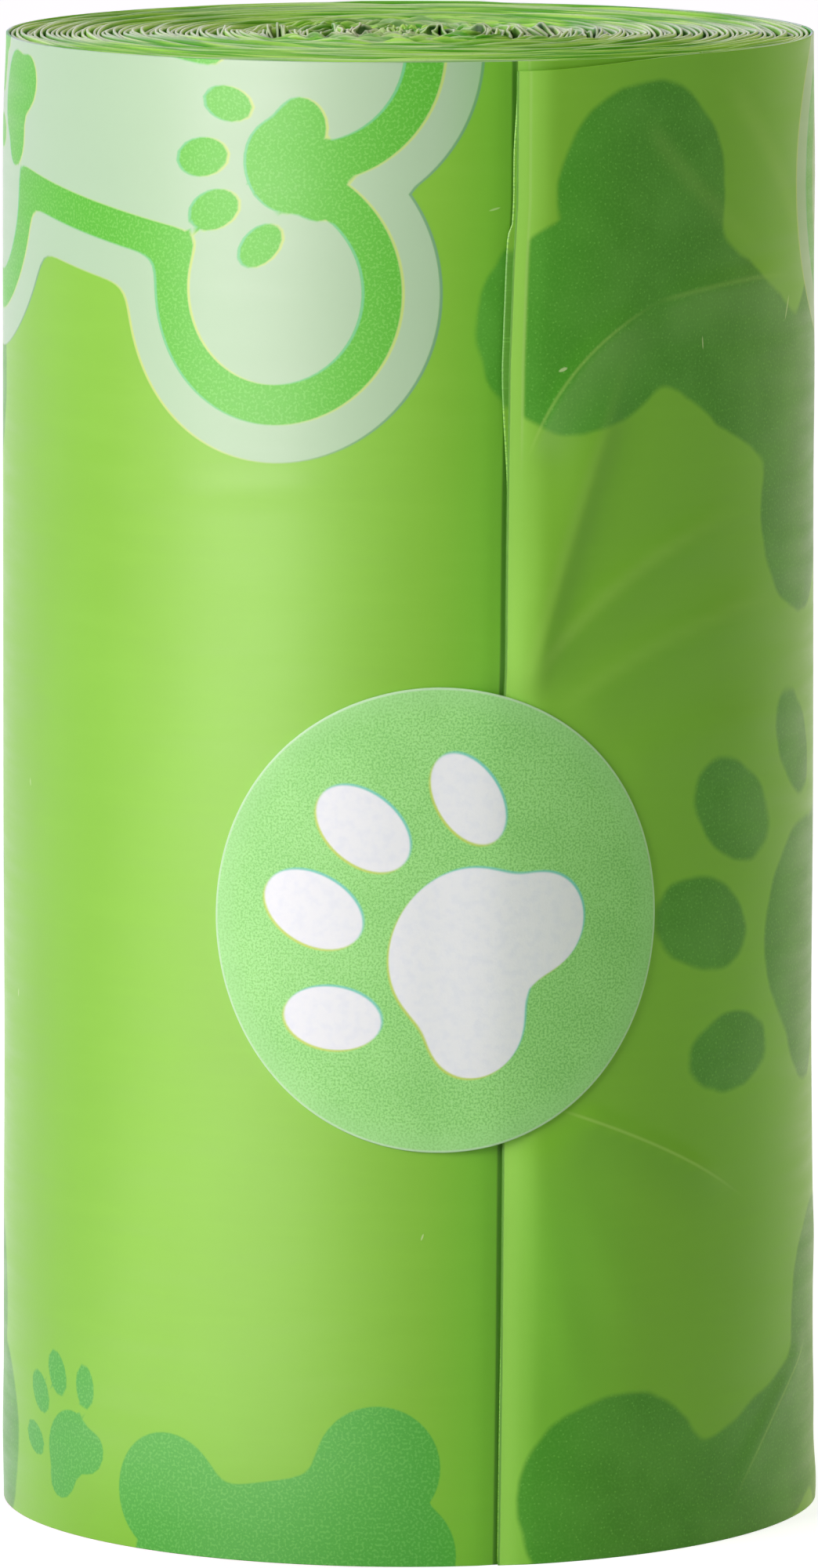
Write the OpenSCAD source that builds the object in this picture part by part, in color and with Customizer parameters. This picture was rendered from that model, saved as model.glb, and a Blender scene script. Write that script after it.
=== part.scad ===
// A coreless roll of small plastic bags: one long web of folded green film, wound on itself
// and standing on its end, with its loose end held down by a round paper seal.
// The axis of the roll is Z, and the roll rests on z = 0. Bearings are in degrees from the
// front of the roll (-Y), positive towards +X.

/* [Roll] */
// Width of the folded film, which is the height of the roll
film_w = 60; // [45:1:90]
// Diameter over the outermost turn
roll_d = 33; // [27:0.5:42]
// Thickness of one drawn turn, a few plies of folded film
film_t = 0.28; // [0.24:0.01:0.36]
// Air between the outermost turns, which are wound tightest
tight_gap = 0.08; // [0.06:0.01:0.14]
// Air between the innermost turns, which are wound loosest
loose_gap = 0.5; // [0.42:0.02:0.7]

/* [Crushed eye] */
// Radius at which the film starts, in the middle of the roll
eye_r = 0.9; // [0.8:0.05:1.4]
// Radius inside which the loose turns are crushed out of round
crushed_r = 9; // [6:0.5:11]
// How flat the eye is crushed, from 0 for round
crush = 0.56; // [0:0.02:0.6]
// Bearing of the long way across the crushed eye
crush_bearing = 68; // [0:2:180]

/* [Loose end] */
// Bearing of the edge where the outermost turn ends
tail_bearing = 13.4; // [5:0.2:25]
// How far the outer plies stop short of the inner ones at that edge
ply_step = 0.5; // [0.2:0.05:1]

/* [Seal] */
// Diameter of the round seal before it is wrapped on the roll
seal_d = 18.6; // [12:0.2:24]
// Thickness of the seal
seal_t = 0.12; // [0.08:0.01:0.2]
// Bearing of the middle of the seal
seal_bearing = 4.3; // [0:0.1:10]
// Height of the middle of the seal
seal_z = 26; // [15:0.5:30]
// How far the seal spans, unsupported, where it steps up onto the loose end
seal_bridge = 1.4; // [1:0.1:2.4]
// Clearance between the seal and the film under it
seal_seat = 0.02; // [0.01:0.01:0.05]

/* [Hidden] */

FILM_GREEN = [0.50, 0.76, 0.24];
SEAL_GREEN = [0.55, 0.80, 0.47];

roll_r = roll_d / 2;
seal_r = seal_d / 2;
full_turn = 360;

// Turns drawn: the gap grows evenly from tight_gap at the outside to loose_gap at the eye.
turns = (roll_r - eye_r) / (film_t + (tight_gap + loose_gap) / 2);

outer_step = 4;   // degrees between points on the outermost turn
inner_step = 12;  // degrees between points further in
tangent_step = 1; // degrees used to find the direction of the film
seal_step = 3;    // degrees between points across the seal
seal_rim_step = 5;

// A point at radius r on a bearing.
function at(r, bearing) = [r * sin(bearing), -r * cos(bearing)];

// Radius of the film's outer face after w degrees of winding, counted inwards from the loose end.
function wound_r(w) =
    let (n = w / full_turn)
    roll_r - (film_t + tight_gap) * n - (loose_gap - tight_gap) * n * n / (2 * turns);

// Share by which the crushed eye pushes the film out (+) or in (-) at a radius and bearing.
function crushing(r, bearing) =
    let (depth = max(0, 1 - r / crushed_r), lean = bearing - crush_bearing)
    crush * depth * depth * (0.8 * cos(2 * lean) + 0.2 * cos(3 * lean + 40));

// Middle of the film's thickness after w degrees of winding.
function film_point(w) =
    let (r = wound_r(w) - film_t / 2, bearing = tail_bearing + w)
    at(r * (1 + crushing(r, bearing)), bearing);

// Unit vector that points out of the roll, square to the film, after w degrees of winding.
function film_normal(w) =
    let (d = film_point(w + tangent_step) - film_point(w - tangent_step))
    [-d.y, d.x] / -norm(d);

// A point on the film, off its middle by a distance that is positive outwards.
function film_side(w, off) = film_point(w) + off * film_normal(w);

last_w = turns * full_turn;
ply_w = ply_step / roll_r * 180 / PI;
windings = concat(
    [for (w = [0 : outer_step : full_turn - outer_step]) w],
    [for (w = [full_turn : inner_step : last_w]) w]
);
count = len(windings);

// The wound film seen from above. Its outer plies stop ply_step short of its inner ones.
module wound_film_outline() {
    outside = [for (i = [0 : count - 1]) film_side(max(ply_w, windings[i]), film_t / 2)];
    inside = [for (i = [count - 1 : -1 : 0]) film_side(windings[i], -film_t / 2)];
    polygon(concat(outside, inside, [film_side(0, 0), film_side(ply_w, 0)]));
}

module bag_roll() {
    color(FILM_GREEN)
        linear_extrude(height = film_w)
            wound_film_outline();
}

// Radius of whatever film shows at a bearing near the seal, on either side of the loose end.
function shown_r(bearing) =
    bearing < tail_bearing ? wound_r(bearing - tail_bearing + full_turn)
                           : wound_r(bearing - tail_bearing);

// Radius of the seal's underside: it lies on the film, and bridges the step at the loose end.
function seal_under_r(bearing) =
    let (
        bridge = seal_bridge / roll_r * 180 / PI,
        foot = tail_bearing - bridge,
        share = max(0, min(1, (bearing - foot) / bridge))
    )
    seal_seat + (share == 0 ? shown_r(bearing)
                            : shown_r(foot) + share * (shown_r(max(bearing, tail_bearing)) - shown_r(foot)));

module seal_band() {
    half = seal_r / roll_r * 180 / PI + seal_step;
    bearings = [for (b = [-half : seal_step : half]) seal_bearing + b];
    under = [for (b = bearings) at(seal_under_r(b), b)];
    over = [for (i = [len(bearings) - 1 : -1 : 0])
        at(seal_under_r(bearings[i]) + seal_t, bearings[i])];
    linear_extrude(height = film_w)
        polygon(concat(under, over));
}

// The seal's round rim as it looks square on: a circle that narrows as it wraps round the roll.
module wrapped_disc() {
    polygon([for (a = [0 : seal_rim_step : full_turn - seal_rim_step])
        [roll_r * sin(seal_r * cos(a) / roll_r * 180 / PI), seal_r * sin(a)]]);
}

module seal_sticker() {
    color(SEAL_GREEN)
        intersection() {
            seal_band();
            rotate([0, 0, seal_bearing])
                translate([0, 0, seal_z])
                    rotate([90, 0, 0])
                        linear_extrude(height = roll_d)
                            wrapped_disc();
        }
}

bag_roll();
seal_sticker();
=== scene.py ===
"""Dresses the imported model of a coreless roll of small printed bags.

The roll stands on z = 0 with its axis on Z. Bearings run from the front of the roll (-Y) towards +X.
The film is one web: its web angle runs from 0 at the loose end inwards, turn after turn.
Lengths are in metres and colours are linear.
"""
import math

import bpy
import numpy as np
from bpy.props import FloatProperty, FloatVectorProperty, IntProperty, PointerProperty
from bpy.types import Operator, Panel, PropertyGroup
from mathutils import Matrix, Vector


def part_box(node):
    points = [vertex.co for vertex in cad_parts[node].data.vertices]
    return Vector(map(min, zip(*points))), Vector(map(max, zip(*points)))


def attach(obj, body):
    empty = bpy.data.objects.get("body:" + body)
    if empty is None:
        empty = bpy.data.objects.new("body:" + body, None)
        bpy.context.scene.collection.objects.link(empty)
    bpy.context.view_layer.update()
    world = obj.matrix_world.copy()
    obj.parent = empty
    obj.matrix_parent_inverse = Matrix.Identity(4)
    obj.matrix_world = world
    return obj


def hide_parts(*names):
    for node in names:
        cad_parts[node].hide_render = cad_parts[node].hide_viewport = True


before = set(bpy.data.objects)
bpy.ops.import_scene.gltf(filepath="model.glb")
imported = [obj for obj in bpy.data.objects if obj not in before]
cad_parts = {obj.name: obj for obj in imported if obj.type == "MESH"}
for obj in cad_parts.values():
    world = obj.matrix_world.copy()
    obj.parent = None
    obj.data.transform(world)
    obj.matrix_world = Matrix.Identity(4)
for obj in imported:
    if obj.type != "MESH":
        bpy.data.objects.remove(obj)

bl_info = {
    "name": "Bag roll",
    "version": (1, 0, 0),
    "blender": (4, 5, 0),
    "location": "3D View > Sidebar > Bag roll",
    "description": "Winds a roll of small printed bags and seals its loose end",
    "category": "Object",
}

MM = 0.001
TURN = 2 * math.pi
ROOT = "root"
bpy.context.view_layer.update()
SEAL_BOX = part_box("seal_sticker")
FILM_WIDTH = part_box("bag_roll")[1].z
TOP_RADIUS = 16.41 * MM
SEAL_DIAMETER = SEAL_BOX[1].z - SEAL_BOX[0].z
SEAL_HEIGHT = (SEAL_BOX[1].z + SEAL_BOX[0].z) / 2


def ink(red, green, blue):
    """A colour given in screen values from 0 to 255, as linear red, green and blue."""
    return tuple(((c / 255 + 0.055) / 1.055) ** 2.4 if c > 10 else c / 3294.6 for c in (red, green, blue))


class RollSettings(PropertyGroup):
    film_width: FloatProperty(
        name="Film width", description="Width of the folded film, which is the height of the roll",
        default=FILM_WIDTH, min=0.03, max=0.1, unit="LENGTH")
    top_radius: FloatProperty(
        name="Top radius", description="Radius of the roll at its top end",
        default=TOP_RADIUS, min=0.01, max=0.03, unit="LENGTH")
    bottom_radius: FloatProperty(
        name="Bottom radius", description="Radius of the roll at its foot",
        default=16.60 * MM, min=0.01, max=0.03, unit="LENGTH")
    pitch: FloatProperty(
        name="Turn to turn", description="How far the radius falls with each turn",
        default=0.212 * MM, min=0.0001, max=0.001, unit="LENGTH")
    film: FloatProperty(
        name="Film thickness", description="Thickness of the folded film, two plies together",
        default=0.12 * MM, min=0.00002, max=0.0005, unit="LENGTH")
    eye_radius: FloatProperty(
        name="Eye radius", description="Radius at which the film starts in the middle",
        default=0.8 * MM, min=0.0003, max=0.005, unit="LENGTH")
    crushed_radius: FloatProperty(
        name="Crushed radius", description="Radius inside which the loose turns are out of round",
        default=9 * MM, min=0.001, max=0.015, unit="LENGTH")
    tail_bearing: FloatProperty(
        name="Loose end", description="Bearing of the edge where the film ends, half way up",
        default=math.radians(14.0), subtype="ANGLE")
    tail_lean: FloatProperty(
        name="Loose end lean", description="How much further round that edge is at the top than at the foot",
        default=math.radians(2.75), subtype="ANGLE")
    film_green: FloatVectorProperty(
        name="Film", description="Colour of the bare film", subtype="COLOR",
        default=ink(136, 200, 57), min=0, max=1)
    pale_ink: FloatVectorProperty(
        name="Pale ink", description="Colour of the palest print", subtype="COLOR",
        default=ink(181, 212, 172), min=0, max=1)
    mid_ink: FloatVectorProperty(
        name="Mid green ink", description="Colour of the print inside the pale field", subtype="COLOR",
        default=ink(92, 189, 48), min=0, max=1)
    dark_ink: FloatVectorProperty(
        name="Dark green ink", description="Colour of the darkest print", subtype="COLOR",
        default=ink(80, 174, 60), min=0, max=1)
    seed: IntProperty(name="Seed", description="Start of every random draw", default=7)


class SealSettings(PropertyGroup):
    diameter: FloatProperty(
        name="Diameter", description="Diameter of the paper seal laid flat",
        default=SEAL_DIAMETER, min=0.005, max=0.04, unit="LENGTH")
    thickness: FloatProperty(
        name="Thickness", description="Thickness of the paper",
        default=0.09 * MM, min=0.00002, max=0.0005, unit="LENGTH")
    bearing: FloatProperty(
        name="Bearing", description="Bearing of its middle", default=math.radians(4.45), subtype="ANGLE")
    height: FloatProperty(
        name="Height", description="Height of its middle",
        default=SEAL_HEIGHT, min=0.0, max=0.1, unit="LENGTH")
    green: FloatVectorProperty(
        name="Green", description="Colour of the printed ground", subtype="COLOR",
        default=ink(157, 228, 130), min=0, max=1)
    white: FloatVectorProperty(
        name="White", description="Colour of the bare paper", subtype="COLOR",
        default=ink(250, 254, 252), min=0, max=1)


class StageSettings(PropertyGroup):
    camera_back: FloatProperty(
        name="Camera back", description="How far the camera stands in front of the roll's axis",
        default=536.61 * MM, unit="LENGTH")
    camera_height: FloatProperty(
        name="Camera height", description="Height of the camera above the floor",
        default=100.66 * MM, unit="LENGTH")
    camera_tilt: FloatProperty(
        name="Camera tilt", description="How far the camera looks down", default=0.132264, subtype="ANGLE")
    lens: FloatProperty(
        name="Lens", description="Focal length in millimetres on a 36 mm sensor", default=304.8)
    key: FloatProperty(name="Key light", description="Power of the soft lamp on the left", default=2.8)
    sheen: FloatProperty(
        name="Sheen light", description="Power of the lamp that only shows in reflections", default=3.4)
    fill: FloatProperty(name="Fill light", description="Power of the soft lamp on the right", default=0.62)
    room_behind: FloatProperty(
        name="Room behind", description="Strength of the white room behind the roll", default=0.95)
    room_before: FloatProperty(
        name="Room before", description="Strength of the room in front of the roll", default=0.07)


# Shapes


def smooth(x):
    """Runs from 0 at x = 0 to 1 at x = 1 without a corner, and is flat outside."""
    x = np.clip(x, 0, 1)
    return x * x * (3 - 2 * x)


def bell(x):
    """1 at x = 0, falling to nothing either side within about two units."""
    return np.exp(-x * x)


SPIRAL_OFFSET = -0.085 * MM         # a spiral is wider on one side, so its middle is off the roll's axis


def at(radius, bearing, z):
    """Points at a radius and a bearing from the middle of the spiral, at a height."""
    radius, bearing, z = np.broadcast_arrays(radius, bearing, z)
    return np.stack([SPIRAL_OFFSET + radius * np.sin(bearing), -radius * np.cos(bearing), z], axis=-1)


def ripples(rng, around, turns, around_rate, turn_rate, count=18):
    """A smooth random field, about -1 to 1: the mean of cosine waves that each go round the roll a whole
    number of times up to around_rate, and drift from turn to turn at up to turn_rate cycles a turn."""
    total = np.zeros(np.broadcast(around, turns).shape)
    for _ in range(count):
        cycles = rng.integers(1, around_rate + 1)
        drift = rng.uniform(-turn_rate, turn_rate) * TURN
        total += np.cos(cycles * around + drift * turns + rng.uniform(0, TURN))
    return total * math.sqrt(2 / count)


def quads(rows, columns, first=0, close_rows=False, close_columns=False):
    """The faces of a grid of points numbered row by row, which may join up with itself either way."""
    i = np.arange(rows if close_rows else rows - 1)[:, None]
    j = np.arange(columns if close_columns else columns - 1)[None, :]
    i2, j2 = (i + 1) % rows, (j + 1) % columns
    corners = [i * columns + j, i2 * columns + j, i2 * columns + j2, i * columns + j2]
    return first + np.stack(corners, axis=-1).reshape(-1, 4)


def slab(outer, inner):
    """A closed sheet between two grids of points: both faces, and the four strips along their edges.
    The outer grid's rows run round the roll and its columns run up it."""
    rows, columns = outer.shape[:2]
    size = rows * columns
    number = np.arange(size).reshape(rows, columns)
    rim = np.concatenate([number[:, 0], number[-1, 1:], number[-2::-1, -1], number[0, -2:0:-1]])
    after = np.roll(rim, -1)
    points = np.concatenate([outer.reshape(-1, 3), inner.reshape(-1, 3)])
    faces = np.concatenate([
        quads(rows, columns),
        quads(rows, columns, first=size)[:, ::-1],
        np.stack([rim, rim + size, after + size, after], axis=-1),
    ])
    return points, faces


def new_piece(name, points, faces, paint, node, numbers, uv=None):
    """Puts points and faces into a mesh of its own that stands for a CAD node, with the numbers that its
    points carry, its map and its paint."""
    mesh = bpy.data.meshes.new(name)
    mesh.from_pydata(points.tolist(), [], faces if isinstance(faces, list) else faces.tolist())
    mesh.polygons.foreach_set("use_smooth", np.ones(len(mesh.polygons), bool))
    corner = np.zeros(len(mesh.loops), int)
    mesh.loops.foreach_get("vertex_index", corner)
    if uv is not None:
        layer = mesh.uv_layers.new(name="film")
        layer.data.foreach_set("uv", uv[corner].astype(np.float32).ravel())
    for key, values in numbers.items():
        attribute = mesh.attributes.new(key, "FLOAT", "POINT")
        attribute.data.foreach_set("value", values.astype(np.float32).ravel())
    mesh.update()
    mesh.materials.append(paint)
    piece = bpy.data.objects.new(name, mesh)
    bpy.context.scene.collection.objects.link(piece)
    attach(piece, ROOT)
    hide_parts(node)
    return piece


# The film's own form

WRAP_END = math.radians(392)        # web angle where the outer wrap hands over to the wound turns
TAIL_BEND = math.radians(5.2)       # the loose end curls in over this much of its web angle
TAIL_CURL = 0.11 * MM
GROOVE = 0.09 * MM                  # the turn below sinks this far beside the loose end
GROOVE_RUN = 0.9 * MM
TAIL_DROP = 0.38 * MM               # the loose end's top corner has slipped down
TAIL_DROP_RUN = math.radians(30)
# The course of the loose end: shares of the roll's height, and there the shares of the whole lean.
TAIL_COURSE = (
    (0, 0.13, 0.27, 0.58, 0.80, 0.867, 0.908, 1),
    (-0.49, -0.353, -0.262, -0.175, 0.073, 0.273, 0.46, 0.51),
)
ONE_PLY_END = math.radians(6.5)     # up to here the loose end is one ply, which is half the film
PLY_RISE = math.radians(2.5)        # over this much more it grows to two
BALANCE = 0.5                       # share of a pitch that the loose end stands proud of the mean radius
INNER_PLY_MARK = 1000               # added to a distance on the inner ply, which starts at its own edge


def web_radius(roll, web, z):
    """Outer radius of the web: it falls by one pitch a turn, and the whole roll widens to its foot."""
    start = roll.top_radius + BALANCE * roll.pitch
    widen = 1 + (roll.bottom_radius / roll.top_radius - 1) * (1 - z / roll.film_width)
    return (start - roll.pitch * web / TURN) * widen


def tail_shift(roll, web, z):
    """How far the leaning loose end turns the film. It fades out an eighth of a turn along the web."""
    lean = roll.tail_lean * np.interp(z / roll.film_width, *TAIL_COURSE)
    return lean * (1 - smooth(web / (TURN / 8)))


# Folds in the outer wrap: start and end as (distance round from the front, height) in millimetres,
# height of the fold, its width on the left and on the right of that line, and how far it bows to the left.
FOLDS = (
    ((4.6, 34.6), (9.3, 49.0), 0.26, 1.5, 0.7, 0.2),
    ((5.2, 35.4), (15.4, 41.4), 0.11, 0.8, 1.2, 1.2),
    ((6.4, 34.0), (18.4, 37.6), 0.09, 0.9, 1.3, 1.0),
    ((8.0, 31.6), (19.6, 32.6), 0.07, 0.9, 1.3, 0.8),
    ((5.6, 45.2), (10.7, 50.3), 0.08, 0.35, 1.5, 0.95),
    ((10.7, 50.3), (19.6, 50.7), 0.06, 0.35, 1.2, 0.3),
    ((6.4, 18.2), (15.2, 14.0), 0.13, 0.35, 1.9, 0.22),
    ((5.8, 17.4), (11.0, 7.4), 0.10, 1.1, 1.3, -0.5),
    ((4.8, 17.6), (7.0, 5.6), 0.10, 1.0, 1.0, 0.0),
    ((21.4, 7.0), (14.4, 1.2), 0.10, 0.9, 0.5, -0.6),
    ((-10.6, 42.9), (-1.6, 43.3), 0.028, 0.35, 0.6, 0.0),
    ((-17.0, 43.6), (-11.0, 43.4), 0.02, 0.5, 0.6, 0.0),
)


def fold_field(across, z):
    """Sum of the folds. Each swells in from both ends of its bowed line and falls as a bell away from it, at
    its own rate on either side."""
    height = np.zeros(np.broadcast(across, z).shape)
    for start, end, rise, left, right, bow in FOLDS:
        start, end = np.array(start) * MM, np.array(end) * MM
        length = np.linalg.norm(end - start)
        along_x, along_z = (end - start) / length
        t = ((across - start[0]) * along_x + (z - start[1]) * along_z) / length
        off = (z - start[1]) * along_x - (across - start[0]) * along_z
        off = off - bow * MM * 4 * np.clip(t, 0, 1) * (1 - np.clip(t, 0, 1))
        reach = np.where(off > 0, left, right) * MM
        height += rise * MM * smooth(t / 0.22 + 0.3) * smooth((1 - t) / 0.35) * bell(off / reach)
    return height


# Low swellings and dips of the outer wrap, most of them on the roll's outline: bearing in degrees, height
# and rise in millimetres, and how wide each is in degrees and how tall in millimetres.
BULGES = (
    (88, 54.5, 0.05, 16, 3.0), (88, 46.5, 0.04, 14, 3.0), (84, 0.6, 0.14, 14, 1.4),
    (88, 10.8, 0.05, 15, 1.5), (82, 4.0, 0.04, 18, 1.4), (-84, 2.8, 0.05, 16, 2.0),
    (-86, 60.0, -0.14, 20, 2.4), (86, 20.0, -0.07, 20, 6.0), (-88, 19.0, -0.04, 18, 6.0),
    (150, 30, 0.05, 30, 9), (225, 44, 0.05, 24, 8),
)


def outline_bulges(bearing, z):
    """Sum of the bulges. Each is a bell round its own bearing and height."""
    total = 0
    for turn, height, rise, wide, tall in BULGES:
        turned = (bearing - math.radians(turn) + math.pi) % TURN - math.pi
        total = total + rise * MM * bell(turned / math.radians(wide)) * bell((z - height * MM) / (tall * MM))
    return total


def from_loose_end(roll, web, z):
    """Distance along the web from the loose end. On the turn below it is negative up to the line where
    the loose end lies."""
    below = web - TURN - tail_shift(roll, 0, z)
    return np.where(web > math.pi, below, web) * roll.top_radius


def wrap_outside(roll, seal, web, z):
    """Outer radius and bearing of the outer wrap. The web's spiral curls in at the loose end and sinks
    beside it, and carries the folds that the seal pulls, which stop where the seal holds it flat."""
    bearing = roll.tail_bearing + web + tail_shift(roll, web, z)
    across = bearing * roll.top_radius
    beyond = np.where(web > math.pi, across - TURN * roll.top_radius, across)
    from_seal = np.hypot(beyond - seal.bearing * roll.top_radius, z - seal.height) - seal.diameter / 2
    radius = web_radius(roll, web, z)
    radius = radius - TAIL_CURL * (1 - smooth(web / TAIL_BEND))
    sunk = smooth(from_loose_end(roll, web, z) / GROOVE_RUN + 1) * (web > math.pi)
    radius = radius - GROOVE * sunk
    radius = radius + fold_field(beyond, z) * smooth(from_seal / (1.0 * MM)) + outline_bulges(bearing, z)
    return radius, bearing


def wrap_top(roll, web):
    """Height of the outer wrap's top edge, which has slipped down at the loose end."""
    return roll.film_width - TAIL_DROP * (1 - smooth(web / TAIL_DROP_RUN))


def film_map(roll, web, z):
    """Place on the web in film widths: along it from the loose end, and across it from the foot."""
    along, across = np.broadcast_arrays(web * roll.top_radius, z)
    return np.stack([along, across], axis=-1).reshape(-1, 2) / roll.film_width


def on_both_faces(numbers):
    """The numbers of a sheet's outer grid of points, once more for its inner grid."""
    return {key: np.tile(values.ravel(), 2) for key, values in numbers.items()}


# The outer wrap's columns, in degrees of web angle: from, up to, and the step between them.
WRAP_COLUMNS = (
    (0, 8, 0.4), (8, 76, 0.7), (76, 236, 3.2), (236, 336, 1.25), (336, 376, 1), (376, 392.1, 2),
)
WRAP_ROWS = 163
RIM_ROW = 0.0006                    # share of the height of the narrow row that ends the face at each rim


def outer_wrap_mesh(roll, seal):
    """The outermost turn: a grid of web angle by height, close by the loose end and the folds and wide
    behind, with the film's thickness under it, which is one ply at the loose end."""
    web = np.radians(np.concatenate([np.arange(*span) for span in WRAP_COLUMNS]))[:, None]
    share = np.linspace(0, 1, WRAP_ROWS)
    share = np.concatenate([[0, RIM_ROW], share[1:-1], [1 - RIM_ROW, 1]])[None, :]
    z = share * wrap_top(roll, web)
    radius, bearing = wrap_outside(roll, seal, web, z)
    plies = 0.5 + 0.5 * smooth((web - ONE_PLY_END) / PLY_RISE)
    points, faces = slab(at(radius, bearing, z), at(radius - plies * roll.film, bearing, z))
    uv = film_map(roll, web, z)
    numbers = {"from_tail": from_loose_end(roll, web, z) / MM, **print_numbers(roll, web, z)}
    return points, faces, np.concatenate([uv, uv]), on_both_faces(numbers)


PLY_CLEARANCE = 0.002 * MM
INNER_PLY_BACK = math.radians(6.8)  # how far the inner ply runs back under the outer one
INNER_PLY_SHORT = (0.15 * MM, 0.1 * MM)  # how far it stops short of the outer ply, at the foot and the top
INNER_PLY_COLUMNS, INNER_PLY_ROWS = 25, 181
INNER_PLY_JUT = 0.42                # how far its edge juts out from the loose end, in degrees
# What its edge gains past a height: degrees, that height and the run in millimetres, which is negative
# where it gains going down. The first is the small tear.
INNER_PLY_STEPS = ((0.55, 53.6, -0.5), (-1.10, 48, -6), (-0.45, 56, 3), (0.2, 14, -8))


def inner_ply_mesh(roll, seal):
    """The ply under the loose end, as a sheet of its own. Its edge juts out from under the outer ply, most
    below the small tear, and slips back under it towards the seal."""
    share = np.linspace(0, 1, INNER_PLY_COLUMNS)[:, None]
    foot, head = INNER_PLY_SHORT
    z = np.linspace(foot, roll.film_width - TAIL_DROP - head, INNER_PLY_ROWS)[None, :]
    jut = INNER_PLY_JUT + sum(
        gain * smooth((z - height * MM) / (run * MM)) for gain, height, run in INNER_PLY_STEPS)
    edge = -np.radians(jut)
    web = edge * (1 - share) + INNER_PLY_BACK * share
    held = np.maximum(web, 0)
    radius, _ = wrap_outside(roll, seal, held, z)
    bearing = roll.tail_bearing + web + tail_shift(roll, held, z)
    outer = at(radius - 0.5 * roll.film - PLY_CLEARANCE, bearing, z)
    inner = at(radius - roll.film + PLY_CLEARANCE, bearing, z)
    points, faces = slab(outer, inner)
    uv = film_map(roll, held, z)
    from_edge = INNER_PLY_MARK + (web - edge) * roll.top_radius / MM
    numbers = {"from_tail": from_edge, **print_numbers(roll, held, z)}
    return points, faces, np.concatenate([uv, uv]), on_both_faces(numbers)


STEPS = 120                         # points a turn of the wound film
TURN_CLEARANCE = 0.02 * MM
CRUSH_BEARING = math.radians(74)    # bearing of the long way across the crushed eye
TIGHT_SHARE = 0.28                  # share of the turns, from outside, where the small gaps stay narrow
SMALL_GAPS = 150
GAP_FADE = 0.45 * MM                # how far inwards and outwards a wide gap pushes the turns
# Wide gaps in the crushed eye: bearing, distance from the middle and width in millimetres, and reach.
EYE_GAPS = (
    (-90, 5.4, 0.42, 0.9), (-84, 1.9, 0.45, 1.0), (-104, 3.4, 0.24, 1.3), (70, 1.1, 0.5, 0.9),
    (92, 2.9, 0.40, 1.0), (84, 4.3, 0.34, 1.1), (93, 5.4, 0.46, 0.9), (89, 7.5, 0.24, 0.9),
)


def open_gaps(rng, roll, web, radius):
    """Adds the lens-shaped gaps between loose turns: each pushes the turns outside it out and those inside
    it in, most at its own bearing and fading over a few turns."""
    moved = radius.copy()
    tight = len(radius) * TIGHT_SHARE
    for bearing, reach, opening, length in EYE_GAPS:
        turned = (roll.tail_bearing + web - math.radians(bearing) + math.pi) % TURN - math.pi
        beyond = (radius - reach * MM) / GAP_FADE
        moved += opening / 2 * MM * np.tanh(beyond * 3) * np.exp(-abs(beyond)) * bell(turned * reach / length)
    for _ in range(SMALL_GAPS):
        turn = min(rng.uniform(0, 1) ** 0.62 * len(radius), len(radius) - 2)
        middle = web[0, 0] + turn * TURN
        deep = max(0.0, (turn - tight) / (len(radius) - tight))
        opening = rng.uniform(0.05, 0.12) * MM + deep * rng.uniform(0.0, 0.34) * MM
        spread = rng.uniform(0.9, 2.4) * MM / max(radius.flat[int(turn * STEPS)], 1.5 * MM)
        offset = web - middle
        passed = np.round(offset / TURN)
        turned = offset - passed * TURN
        steps_off = passed - 0.5
        push = np.where(steps_off < 0, 1, -1) * opening / 2
        moved += push * bell(turned / spread) * np.exp(-(np.abs(steps_off) - 0.5) / 3.5)
    return moved


def wound_path(roll):
    """The middle line of the wound film, turn by turn. A spiral falls one pitch a turn. Inside the crushed
    radius it is squashed out of round and wrinkled, gaps open between turns, and no turn comes closer
    to the next than its own thickness."""
    rng = np.random.default_rng(roll.seed)
    start = web_radius(roll, WRAP_END, roll.film_width) - roll.film / 2
    count = int((start - roll.eye_radius) / roll.pitch)
    web = WRAP_END + TURN * (np.arange(count)[:, None] + np.arange(STEPS)[None, :] / STEPS)
    bearing = roll.tail_bearing + web
    radius = web_radius(roll, web, roll.film_width) - roll.film / 2
    depth = np.clip(1 - radius / roll.crushed_radius, 0, 1)
    lean = bearing - CRUSH_BEARING
    squash = 0.46 * np.cos(2 * lean) + 0.16 * np.cos(3 * lean + 0.7)
    radius = radius * (1 + depth ** 2 * squash)
    settled = np.exp(-(web - WRAP_END) / TURN / 5)
    radius = radius + outline_bulges(bearing, roll.film_width) * settled
    radius = radius + ripples(rng, bearing, web / TURN, 9, 0.12) * depth ** 1.2 * 0.34 * MM
    radius = radius + ripples(rng, bearing, web / TURN, 22, 0.2) * depth ** 1.5 * 0.13 * MM
    radius = open_gaps(rng, roll, web, radius)
    room = (roll.film + TURN_CLEARANCE) * np.arange(count)[:, None]
    radius = np.minimum.accumulate(radius + room, axis=0) - room
    return web, bearing, np.maximum(radius, 0.35 * MM)


def eye_pits(bearing, radius):
    """Where the film has sunk before each wide gap in the eye, and where it stands up behind the gap with
    its face to the front in painted shade: two fields of bells, 0 to about 1."""
    x, y, _ = np.moveaxis(at(radius, bearing, 0), -1, 0) / MM
    sunk, risen = np.zeros(radius.shape), np.zeros(radius.shape)
    for turn, reach, opening, _ in EYE_GAPS:
        off_x = x - reach * math.sin(math.radians(turn))
        off_y = y + reach * math.cos(math.radians(turn))
        sunk += bell(off_x / (0.9 * opening)) * bell((off_y + 1.3) / 1.4)
        risen += bell(off_x / (0.9 * opening)) * bell((off_y - 0.4) / 0.45) * (opening + 0.1) / 0.5
    return sunk.clip(0, 1), risen.clip(0, 1)


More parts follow.
